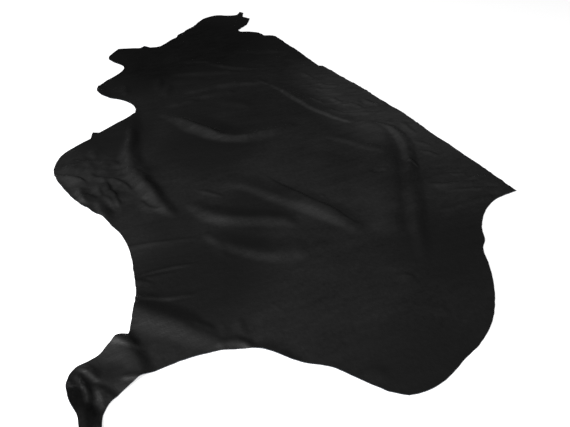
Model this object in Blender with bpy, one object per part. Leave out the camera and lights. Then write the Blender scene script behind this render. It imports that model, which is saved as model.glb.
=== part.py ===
"""A tanned cattle side: the left half of a hide, one piece of soft leather lying grain up on a level surface.

Metres, +Z up. +X runs along the backbone cut towards the neck and +Y out towards the belly. The origin is
under the middle of the side's bounding box, on the surface it lies on. The tables are in centimetres, as a
cutter marks a side: "fore" along the backbone from the rump, and "out" square to the backbone.
"""

import math
from collections import namedtuple

import bpy
import numpy as np
from mathutils import Vector
from mathutils.geometry import delaunay_2d_cdt, interpolate_bezier

CM = 0.01
THICK = 0.0018  # a soft upholstery side, shaved level

EDGE_TURN = math.radians(16)  # a round stretch of the edge gets a point each time it turns by this much
EDGE_STEP = 0.08  # the longest straight step along the edge
FLAT_STEP = 0.042  # spacing of the points where the side lies between its folds
FOLD_STEP = 0.6  # spacing of the points along a fold, as a share of its mean width
FOLD_ROWS = 9  # rows of points across a fold
CLEAR = 0.55  # a point nearer to another than this share of its spacing is left out
EDGE_CLEAR = 0.35  # and the same for its distance from the cut edge
FOLD_ENDS = 0.35  # the share of a fold's length over which each end dies away

SLACK_HIGH = 0.005  # how far the slack between the folds could lift the side
SLACK_REST = 0.55  # the share of that which the side's own weight presses flat
# Each wave of the slack: its length in metres, its heading in degrees from +X and its start in turns.
SLACK_WAVES = ((0.83, 20, 0.10), (0.61, 75, 0.45), (0.47, 130, 0.80), (0.35, 165, 0.25))

ROUND, SHARP = "round", "sharp"
Cut = namedtuple("Cut", "place fore out turn")
Fold = namedtuple("Fold", "place high left right route")

# The cut edge, from the tail round the butt, hind shank, flank, belly, fore leg, jaw, face and backbone.
EDGE = tuple(Cut(*row) for row in (
    ("tail tip", -13.5, 1.0, SHARP),
    ("tail root", -14.0, 9.0, ROUND),
    ("tail bay", -17.5, 16.5, ROUND),
    ("tail bay", -24.0, 23.5, ROUND),
    ("butt bump", -27.0, 25.5, SHARP),
    ("butt nick", -29.0, 28.0, SHARP),
    ("butt", -39.0, 34.5, ROUND),
    ("butt", -48.0, 43.0, ROUND),
    ("butt", -52.5, 51.0, ROUND),
    ("butt dent", -54.0, 56.0, ROUND),
    ("butt", -56.5, 64.0, ROUND),
    ("butt lobe", -56.0, 71.0, ROUND),
    ("thigh", -50.5, 76.0, ROUND),
    ("thigh", -44.5, 80.0, ROUND),
    ("thigh", -39.5, 86.0, ROUND),
    ("thigh", -34.0, 91.0, ROUND),
    ("thigh", -31.0, 97.0, ROUND),
    ("shank back", -29.5, 108.0, ROUND),
    ("shank back", -31.5, 117.5, ROUND),
    ("shank back", -35.0, 122.0, ROUND),
    ("shank spur", -36.5, 122.5, SHARP),
    ("shank end", -39.0, 123.5, ROUND),
    ("shank end", -39.5, 125.5, ROUND),
    ("shank front", -34.5, 126.0, ROUND),
    ("hock", -25.0, 126.5, ROUND),
    ("hock", -22.5, 125.0, ROUND),
    ("hock", -21.0, 120.0, ROUND),
    ("hock", -18.5, 115.5, ROUND),
    ("hock nick", -18.5, 113.5, SHARP),
    ("flank", -10.0, 110.0, ROUND),
    ("flank", -1.0, 108.0, ROUND),
    ("flank", 16.0, 107.0, ROUND),
    ("belly", 25.0, 109.5, ROUND),
    ("belly", 36.0, 114.5, ROUND),
    ("belly", 46.0, 117.0, ROUND),
    ("belly", 57.5, 118.0, ROUND),
    ("belly", 67.5, 113.5, ROUND),
    ("belly", 74.5, 104.0, SHARP),
    ("brisket tip", 79.0, 102.5, SHARP),
    ("brisket", 77.5, 100.5, SHARP),
    ("fore leg pit", 82.0, 93.5, ROUND),
    ("fore leg pit", 88.0, 85.5, ROUND),
    ("fore leg pit", 94.0, 84.5, ROUND),
    ("fore leg", 102.5, 87.5, ROUND),
    ("fore leg", 107.0, 92.0, ROUND),
    ("fore leg tip", 115.5, 94.0, ROUND),
    ("fore leg", 124.5, 88.5, ROUND),
    ("fore leg", 132.0, 80.5, ROUND),
    ("jaw bay", 138.0, 78.0, ROUND),
    ("jaw", 145.0, 80.5, ROUND),
    ("jaw tip", 150.5, 82.0, ROUND),
    ("jaw", 162.0, 75.0, SHARP),
    ("throat", 158.5, 65.5, SHARP),
    ("throat tick", 160.5, 63.0, SHARP),
    ("throat", 157.5, 61.0, ROUND),
    ("throat", 167.5, 45.0, SHARP),
    ("cheek", 170.5, 43.5, SHARP),
    ("cheek", 184.0, 29.0, ROUND),
    ("cheek", 192.5, 21.5, ROUND),
    ("cheek", 195.5, 13.0, ROUND),
    ("face", 191.5, 6.0, ROUND),
    ("face", 191.5, 2.5, SHARP),
    ("face tip", 197.0, -1.5, SHARP),
    ("face tip", 194.0, -2.5, SHARP),
    ("face", 187.0, 1.0, SHARP),
    ("face", 181.5, -1.0, SHARP),
    ("face", 172.0, 5.0, ROUND),
    ("ear notch", 164.5, 13.0, SHARP),
    ("ear notch", 161.5, 13.0, SHARP),
    ("nape", 156.0, 5.5, ROUND),
    ("nape", 151.0, 4.5, SHARP),
    ("nape", 147.5, 0.0, SHARP),
    ("back", 118.5, 0.5, ROUND),
    ("back tick", 100.5, 1.5, SHARP),
    ("back tick", 99.5, 0.0, SHARP),
    ("back", 67.0, -1.5, ROUND),
    ("back", 40.0, -1.5, ROUND),
    ("rump", 0.0, 0.0, SHARP),
))

# The folds in which it lies: each ridge's height, and how far it runs out to the left and right of its route.
FOLDS = tuple(Fold(*row) for row in (
    ("shoulder", 1.4, 8.0, 9.5, ((83.5, 81), (68, 72.5), (51, 59.5), (48, 50.5), (48, 38.5))),
    ("withers", 0.6, 6.0, 3.0, ((93, 30.5), (65, 27), (46.5, 18.5), (40.5, 12.5))),
    ("saddle", 0.7, 9.0, 7.0, ((49, 30), (41, 24.5), (32.5, 21), (23.5, 20))),
    ("rib", 1.7, 5.0, 8.0, ((32.5, 81.5), (25, 66.5), (5, 56.5), (-13, 49.5))),
    ("loin", 1.5, 6.0, 6.0, ((27.5, 88), (13.5, 82.5), (4.5, 70.5), (-0.5, 63))),
    ("flank", 1.1, 6.0, 5.0, ((10.5, 88.5), (-3, 82.5), (-11.5, 70), (-10.5, 58))),
    ("belly", 1.5, 4.5, 5.5, ((91, 87.5), (74, 90.5), (37.5, 93.5), (16, 89))),
    ("hip", 0.8, 5.0, 6.0, ((37.5, 18), (23.5, 22), (-4, 37.5), (-11.5, 43.5))),
    ("rump", 1.2, 4.0, 5.5, ((43, 11), (31.5, 9.5), (8, 21), (-19, 38.5), (-28, 45))),
    ("leg root", 2.0, 4.5, 7.5, ((-9, 113), (-16.5, 108), (-27.5, 100), (-33, 93))),
    ("shank", 0.9, 2.5, 4.0, ((-18, 116), (-23, 114.5), (-31, 113))),
    ("hock", 0.8, 2.0, 1.5, ((-23, 126), (-26.5, 123.5), (-30, 122.5), (-35, 123))),
    ("belly flap", 0.7, 2.5, 2.5, ((57, 111.5), (49.5, 105.5), (34, 98.5))),
    ("belly flap", 0.8, 2.5, 2.0, ((48, 117), (42.5, 111.5), (27, 106))),
    ("belly flap", 0.5, 2.0, 2.0, ((64, 116), (52, 113.5), (42, 111))),
    ("belly flap", 0.5, 3.0, 3.0, ((71, 107), (64.5, 103), (53, 98))),
))


def bearing(before, here, after):
    """The direction of a smooth curve through the middle one of three points."""
    back, ahead = here - before, after - here
    return (back / back.length * ahead.length + ahead / ahead.length * back.length).normalized()


def edge_points():
    """The cut edge as a closed run of points, in metres from the rump."""
    marks = [Vector((cut.fore, cut.out, 0)) * CM for cut in EDGE]
    ways = [bearing(marks[i - 1], marks[i], marks[(i + 1) % len(marks)]) for i in range(len(marks))]
    points = []
    for i, cut in enumerate(EDGE):
        j = (i + 1) % len(EDGE)
        chord = marks[j] - marks[i]
        leave = chord.normalized() if cut.turn == SHARP else ways[i]
        arrive = chord.normalized() if EDGE[j].turn == SHARP else ways[j]
        handle = chord.length / 3
        turned = leave.angle(chord) + arrive.angle(chord)
        steps = max(1, math.ceil(turned / EDGE_TURN), math.ceil(chord.length / EDGE_STEP))
        curve = interpolate_bezier(marks[i], marks[i] + leave * handle, marks[j] - arrive * handle, marks[j], steps + 1)
        points += [point.xy for point in curve[:-1]]
    return np.array(points)


def route_points(route, step):
    """A fold's route as a smooth run of points about a step apart, in metres from the rump."""
    marks = [Vector((*mark, 0)) * CM for mark in route]
    ways = [bearing(marks[i - 1], marks[i], marks[i + 1]) for i in range(1, len(marks) - 1)]
    ways = [(marks[1] - marks[0]).normalized(), *ways, (marks[-1] - marks[-2]).normalized()]
    points = [marks[0].xy]
    for i in range(len(marks) - 1):
        handle = (marks[i + 1] - marks[i]).length / 3
        steps = max(1, round(3 * handle / step))
        start, end = marks[i] + ways[i] * handle, marks[i + 1] - ways[i + 1] * handle
        points += [point.xy for point in interpolate_bezier(marks[i], start, end, marks[i + 1], steps + 1)[1:]]
    return np.array(points)


def beside(points, route):
    """For each point, how far it is to the left of the route (right is negative) and how far along, from 0 to 1."""
    best, left, along = np.full(len(points), np.inf), np.zeros(len(points)), np.zeros(len(points))
    lengths = np.linalg.norm(np.diff(route, axis=0), axis=1)
    travelled = np.concatenate([[0], np.cumsum(lengths)])
    for i, length in enumerate(lengths):
        way = (route[i + 1] - route[i]) / length
        offset = points - route[i]
        ahead = np.clip(offset @ way, 0, length)
        apart = np.linalg.norm(offset - np.outer(ahead, way), axis=1)
        side = np.sign(way[0] * offset[:, 1] - way[1] * offset[:, 0])
        nearer = apart < best
        best = np.where(nearer, apart, best)
        left = np.where(nearer, apart * side, left)
        along = np.where(nearer, (travelled[i] + ahead) / travelled[-1], along)
    return left, along


def soft_step(share):
    share = np.clip(share, 0, 1)
    return share * share * (3 - 2 * share)


def fold_height(points, fold):
    """How far one fold lifts the side: a soft ridge that dies away at both ends."""
    left, along = beside(points, route_points(fold.route, 0.02))
    across = np.where(left > 0, left / (fold.left * CM), -left / (fold.right * CM))
    ridge = (1 - np.minimum(across, 1) ** 2) ** 2
    ends = soft_step(along / FOLD_ENDS) * soft_step((1 - along) / FOLD_ENDS)
    return fold.high * CM * ridge * ends


def slack_height(points):
    """The low undulation between the folds, cut off flat where the side's weight presses it down."""
    waves = np.zeros(len(points))
    for length, heading, start in SLACK_WAVES:
        way = np.array([math.cos(math.radians(heading)), math.sin(math.radians(heading))])
        waves += 0.5 + 0.5 * np.sin(2 * math.pi * (points @ way / length + start))
    lifted = np.maximum(0, waves / len(SLACK_WAVES) - SLACK_REST) / (1 - SLACK_REST)
    return SLACK_HIGH * lifted * soft_step(lifted * 2)


def height(points):
    return slack_height(points) + sum(fold_height(points, fold) for fold in FOLDS)


def fold_rows(fold):
    """Points in rows along a fold, closer together than on the flat so that its ridge keeps its shape."""
    step = FOLD_STEP * (fold.left + fold.right) / 2 * CM
    route = route_points(fold.route, step)
    ways = np.gradient(route, axis=0)
    ways /= np.linalg.norm(ways, axis=1)[:, None]
    lefts = np.stack([-ways[:, 1], ways[:, 0]], axis=1)
    shares = sorted(np.linspace(-1, 1, FOLD_ROWS), key=abs)
    widths = [share * CM * (fold.left if share > 0 else fold.right) for share in shares]
    row_step = 2 * (fold.left + fold.right) / 2 * CM / (FOLD_ROWS - 1)
    return [(point, row_step) for width in widths for point in route + lefts * width]


def flat_rows(low, high):
    """A lattice of equal triangles over the whole box."""
    rise = FLAT_STEP * math.sqrt(3) / 2
    rows = range(math.ceil((high[1] - low[1]) / rise))
    columns = range(math.ceil((high[0] - low[0]) / FLAT_STEP))
    return [
        (low + np.array([(column + 0.5 * (row % 2)) * FLAT_STEP, row * rise]), FLAT_STEP)
        for row in rows
        for column in columns
    ]


def inside(point, edge):
    """Whether a point is inside the cut edge, by the number of times that a line from it crosses the edge."""
    ahead = np.roll(edge, -1, axis=0)
    spans = (edge[:, 1] > point[1]) != (ahead[:, 1] > point[1])
    start, end = edge[spans], ahead[spans]
    crossing = start[:, 0] + (point[1] - start[:, 1]) * (end[:, 0] - start[:, 0]) / (end[:, 1] - start[:, 1])
    return (crossing > point[0]).sum() % 2 == 1


def edge_distance(point, edge):
    span = np.roll(edge, -1, axis=0) - edge
    share = np.clip(((point - edge) * span).sum(1) / (span * span).sum(1), 0, 1)
    return np.linalg.norm(point - edge - share[:, None] * span, axis=1).min()


def spread_points(edge):
    """The points that make the side's surface: along the folds first, then the lattice in what is left."""
    narrow_first = sorted(FOLDS, key=lambda fold: fold.left + fold.right)
    candidates = [pair for fold in narrow_first for pair in fold_rows(fold)]
    candidates += flat_rows(edge.min(0), edge.max(0))
    chosen = np.full((len(candidates), 2), np.inf)
    count = 0
    for point, step in candidates:
        if np.linalg.norm(chosen[:count] - point, axis=1).min(initial=np.inf) < CLEAR * step:
            continue
        if inside(point, edge) and edge_distance(point, edge) > EDGE_CLEAR * step:
            chosen[count] = point
            count += 1
    return chosen[:count]


def leather():
    """Soft black aniline leather with a satin grain."""
    material = bpy.data.materials.new("soft black leather")
    material.use_nodes = True
    shader = material.node_tree.nodes["Principled BSDF"]
    shader.inputs["Base Color"].default_value = (0.012, 0.012, 0.012, 1)
    shader.inputs["Roughness"].default_value = 0.5
    shader.inputs["Metallic"].default_value = 0.0
    return material


def make_side():
    """The side's underside as a mesh with its folds, thickened upwards by a Solidify."""
    edge = edge_points()
    points = np.concatenate([edge, spread_points(edge)])
    rim = [(i, (i + 1) % len(edge)) for i in range(len(edge))]
    flat, _, faces, *_ = delaunay_2d_cdt([Vector(point) for point in points], rim, [], 1, 1e-6)
    flat = np.array(flat)
    middle = (edge.min(0) + edge.max(0)) / 2
    shape = np.column_stack([flat - middle, height(flat)])
    mesh = bpy.data.meshes.new("hide")
    mesh.from_pydata(shape.tolist(), [], [list(face) for face in faces])
    mesh.materials.append(leather())
    mesh.update()
    mesh.shade_smooth()
    side = bpy.data.objects.new("hide", mesh)
    bpy.context.scene.collection.objects.link(side)
    wall = side.modifiers.new("thickness", "SOLIDIFY")
    wall.thickness = THICK
    wall.offset = 1
    return side


for old in list(bpy.data.objects):
    bpy.data.objects.remove(old)
make_side()
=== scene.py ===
"""The visual model of a left side of black cattle leather, lying grain up as it comes off the pile.

It is laid out as a Blender add-on and run as a script. Everything is in metres in the CAD frame: +X runs
along the backbone cut towards the neck, +Y out towards the belly, and the surface it lies on is z = 0.
The tables give places as a cutter marks a side, in centimetres from the rump: "fore" along the backbone
and "out" square to it.
"""

import math
from collections import namedtuple

import bpy
import numpy as np
from bpy.props import FloatProperty, FloatVectorProperty, IntProperty, PointerProperty
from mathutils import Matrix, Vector
from mathutils.geometry import delaunay_2d_cdt, interpolate_bezier
from mathutils.kdtree import KDTree


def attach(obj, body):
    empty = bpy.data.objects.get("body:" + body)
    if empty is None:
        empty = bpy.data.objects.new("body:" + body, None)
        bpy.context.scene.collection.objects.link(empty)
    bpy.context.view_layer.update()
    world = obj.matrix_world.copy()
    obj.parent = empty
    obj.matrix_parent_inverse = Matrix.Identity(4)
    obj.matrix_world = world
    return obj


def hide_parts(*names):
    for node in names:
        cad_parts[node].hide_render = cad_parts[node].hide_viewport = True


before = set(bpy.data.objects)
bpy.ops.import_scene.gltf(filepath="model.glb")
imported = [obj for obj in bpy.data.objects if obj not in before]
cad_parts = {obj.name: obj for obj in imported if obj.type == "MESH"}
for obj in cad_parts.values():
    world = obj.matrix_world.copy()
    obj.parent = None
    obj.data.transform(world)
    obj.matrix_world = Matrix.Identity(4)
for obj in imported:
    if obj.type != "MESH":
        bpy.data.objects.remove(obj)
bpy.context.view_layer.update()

bl_info = {
    "name": "Leather side",
    "version": (1, 0, 0),
    "blender": (4, 5, 0),
    "location": "View3D > Sidebar > Leather side",
    "description": "Lays a side of soft black leather in its folds, with its grain, creases and raw cut edge",
    "category": "Object",
}

SIDE_NODE = "hide"
CM, MM = 0.01, 0.001
RUMP = np.array((-0.7014, -0.6216))  # the rump's corner of the backbone cut, in the CAD frame
TOWARDS_FACE = np.array((1.0, -0.3))  # the line of the cut edge starts at its end this way

# How close together the points of the grain surface lie, by what has to show there.
PLAIN, CLOSE, FINE = 0.0115, 0.0073, 0.0051
EDGE_STEP = 0.005
EDGE_ROW = 0.003  # how far in from the cut edge the next row of points lies
CLEAR_SHARE = 0.55  # how far the other points keep from that row, as a share of their own step
ROUTE_STEP = 0.02
NARROW = 21  # a fold with a side narrower than this many millimetres takes the finest points
ZONE_FALL = 1.6  # how steeply a zone's share falls off, so that it is whole in its middle third
ZONE_START = 0.15  # the share of a zone from which its points draw together
MERGE_WITHIN = 1e-7
CORNER_TURN = math.radians(28)  # a sharper turn of the cut edge than this stays a corner
SHARP_TURN = math.radians(50)  # a sharper turn of the surface than this has no smooth shading

# What makes a fold less even than its row in the table. Its width is that of its narrower side.
FOLD_SEED, RUNS_EACH = 100, 3  # the first fold's seed, and how many runs of noise each fold draws
STRAY = 0.10  # how far its line strays, in widths
STRAY_RUN = 2.2  # how far apart the strays are, in widths
UNEVEN = 0.12  # the share by which its height varies
UNEVEN_RUN, UNEVEN_LEAST = 3, 0.02  # how far apart that is, in widths and then in metres
END_WIDTH = 0.45  # how wide it still is where its height runs out, as a share
REACH = 1.3  # how far out it still counts, as a share of its side
REACH_MORE = 4  # and how many millimetres beyond that the points lie close

# Each run of noise has a share or a height, a spacing of its swells in metres, and a seed.
Noise = namedtuple("Noise", "share spacing seed")
NOISE_SIDE = 64
KNIFE = (Noise(0.6, 0.011, 31), Noise(0.7, 0.045, 32))
SWELL = (Noise(0.6, 0.42, 41), Noise(0.5, 0.21, 42))
SWELL_HIGH, SWELL_START = 0.005, 0.12  # how high the leather swells, and the noise at which it starts to
PILLOW = (Noise(0.0007, 0.09, 43), Noise(0.0005, 0.034, 44))
PILLOW_PULL = (1, 0.4)
BED = 0.0008  # how far the underside lies above the surface where it lies flat
DENTS = (Noise(1, 0.034, 51), Noise(0.45, 0.019, 52))
CURL = (Noise(1, 0.13, 61),)
CURL_HIGH, CURL_WIDE = 0.0022, 0.022
CURL_MORE = 0.15  # added to the noise, so that a little over half of the cut edge curls

# How far apart the patterns in the leather repeat, in metres.
PATCH, STREAK, FLECK = 0.14, 0.022, 0.009
SKIN, PEBBLE = 0.012, 0.0024
NAP, FIBRE = 0.004, 0.0015
HAIR_LAY = math.radians(26.6)  # how the hair lay, turned from the axes of the CAD frame
WRINKLE_STRETCH = 0.35  # growth wrinkles run across the side, so they change more slowly that way

FLOOR_HALF = 14
SOFTBOX_PLACE = (-1.95, 3.15, 2.4)
SOFTBOX_SIZE = (1.6, 1.2)
EYE_MARK = (-102.03, 119.63)  # where the camera stands, as a cutter's mark
HEADING = math.radians(-116.65)  # the camera's turn from looking along +Y

# A fold's height and how far it runs out to the left and right of its route are in millimetres. "round" is
# how blunt its crest is: about 1 for a soft roll and 0.1 for a pinch. "foot" is how softly it meets the
# ground: 1.3 is crisp and 2 is soft. "sizes" are its shares of that size at even steps along its route.
Fold = namedtuple("Fold", "place high left right round foot sizes route")
SPINDLE = (0, 1, 1, 0)
FROM_EDGE = (1, 0.8, 0.4, 0)
# A zone's reach is in centimetres along and across the side.
Zone = namedtuple("Zone", "place fore out reach_fore reach_out")
# A patch of painted light (share above 0) or painted shade (share below 0) in the grain's colour.
LightShadeZone = namedtuple("LightShadeZone", "place share fore out reach_fore reach_out")

FOLDS = tuple(Fold(*row) for row in (
    ("shoulder", 14, 100, 42, 0.35, 1.4, (0, 0.3, 0.75, 1, 1, 0.8, 0.65, 0.6, 0.45, 0),
        ((86, 78.5), (81, 76), (76, 74), (70.5, 72), (65.5, 70.5), (61.5, 68), (57.5, 66), (54.5, 63.5),
         (52.5, 60.5), (51, 57.5), (51, 53), (51, 48), (51.5, 42.5), (52.5, 35.5))),
    ("shoulder lip", 8, 20, 42, 0.3, 1.4, (0, 0.6, 1, 1, 0.65, 0.5, 0.5, 0.35, 0),
        ((78, 74.5), (70.5, 72), (65.5, 70.5), (61.5, 68), (57.5, 66), (54.5, 63.5), (52.5, 60.5),
         (51, 57.5), (51, 53), (51, 46), (52, 38))),
    ("shoulder end", 8, 70, 26, 0.4, 1.5, (0, 0.5, 0.9, 1, 0.6, 0),
        ((52.5, 61), (51, 57), (51, 52.5), (51, 47.5), (51.5, 42), (52.5, 35.5))),
    ("rib", 12, 75, 36, 0.5, 1.4, (0, 0.4, 0.65, 0.85, 1, 1, 0.45, 0),
        ((27.5, 79.5), (27, 76.5), (26.5, 73), (24, 69.5), (19, 66), (13.5, 63), (8, 59.5), (2.5, 56.5),
         (-4, 54), (-9, 52), (-13, 50.5))),
    ("rib back", 3.5, 14, 40, 0.3, 1.6, (0, 1, 1, 1, 0.8, 0),
        ((28, 62), (23, 61.5), (17.5, 60), (12.5, 58), (7.5, 56.5), (2.5, 54), (-3, 52.5), (-10, 49))),
    ("loin", 14, 58, 38, 0.35, 1.5, (0, 0.5, 0.85, 1, 1, 0.85, 0.6, 0),
        ((23.5, 87.5), (19.5, 86), (16, 84.5), (13, 82.5), (10, 79.5), (8, 76), (6.5, 72.5), (4.5, 69),
         (2.5, 66.5), (-1, 64.5))),
    ("flank", 10, 70, 38, 0.5, 1.6, (0, 0.45, 0.75, 0.9, 0.95, 0.75, 0.4, 0),
        ((8.5, 88.5), (4, 86), (0, 83.5), (-3.5, 81), (-6.5, 78), (-8.5, 75), (-9.5, 71.5), (-10.5, 68),
         (-10.5, 64), (-10.5, 59.5))),
    ("belly top", 8, 42, 140, 0.3, 1.5, (0.3, 0.8, 1, 0.6, 0),
        ((92.5, 84.5), (85, 87.5), (77, 89.5), (68, 92), (59.5, 94.5))),
    ("belly", 14, 42, 36, 0.3, 1.5, (0, 0.6, 1, 1, 1, 1, 0.9, 0.7, 0),
        ((77, 89.5), (68, 92), (59.5, 94.5), (51.5, 95.5), (44, 96), (37.5, 95.5), (31.5, 95), (25, 94),
         (20.5, 93), (16.5, 92))),
    ("belly fold", 4, 90, 60, 0.4, 1.5, (0, 0.5, 1, 1, 1, 0.6, 0),
        ((55, 95.5), (49, 96), (44, 96), (37.5, 95.5), (31.5, 95), (25, 94), (20.5, 93))),
    ("withers", 9.5, 95, 13, 0.2, 1.3, (0, 0.3, 0.8, 1, 1, 0.9, 0.7, 0),
        ((97.5, 35), (92, 31), (83.5, 28.5), (76.5, 28), (69.5, 27), (62.5, 26), (56, 24), (50.5, 22),
         (46.5, 19.5), (43.5, 15.5))),
    ("hip", 15, 60, 120, 0.5, 1.4, (0, 0.5, 0.8, 1, 1, 1, 0.8, 0.5, 0),
        ((46, 14.5), (42.5, 13.5), (38, 13.5), (32.5, 16), (25, 20), (18, 23.5), (10.5, 27.5), (2.5, 32.5),
         (-4, 37), (-11, 42), (-17, 45.5))),
    ("rump", 10, 34, 24, 0.25, 1.4, (0, 0.7, 1, 1, 0.8, 0.4, 0),
        ((42, 12), (38.5, 10.5), (34, 10), (28, 11), (22, 13.5), (15, 17.5), (7, 23))),
    ("rump side", 10, 38, 34, 0.25, 1.4, (0, 0.6, 1, 1, 0.95, 0.8, 0.45, 0),
        ((24, 12.5), (15, 17.5), (7, 23), (-0.5, 28), (-7.5, 32.5), (-14.5, 37), (-21, 41), (-27, 45.5))),
    ("leg root", 12.5, 50, 56, 0.25, 1.4, (1, 1, 0.95, 0.8, 0.6, 0.35, 0),
        ((-11.5, 110), (-14.5, 108), (-17.5, 105.5), (-20.5, 103), (-24, 101), (-26.5, 99), (-29, 97.5),
         (-31, 96))),
    ("shank", 10, 29, 56, 0.4, 1.5, (1, 1, 1, 0.9, 0.8),
        ((-19, 115.5), (-21.5, 114.5), (-24, 114), (-26.5, 113.5), (-29, 113.5), (-30.5, 113.5))),
    ("hock curl", 18, 46, 5, 0.15, 1.2, (0.4, 1, 1, 1, 1),
        ((-24, 127), (-26.5, 127.5), (-29.5, 127.5), (-33, 127.5), (-36, 127.5), (-39.5, 127))),
))

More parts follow.
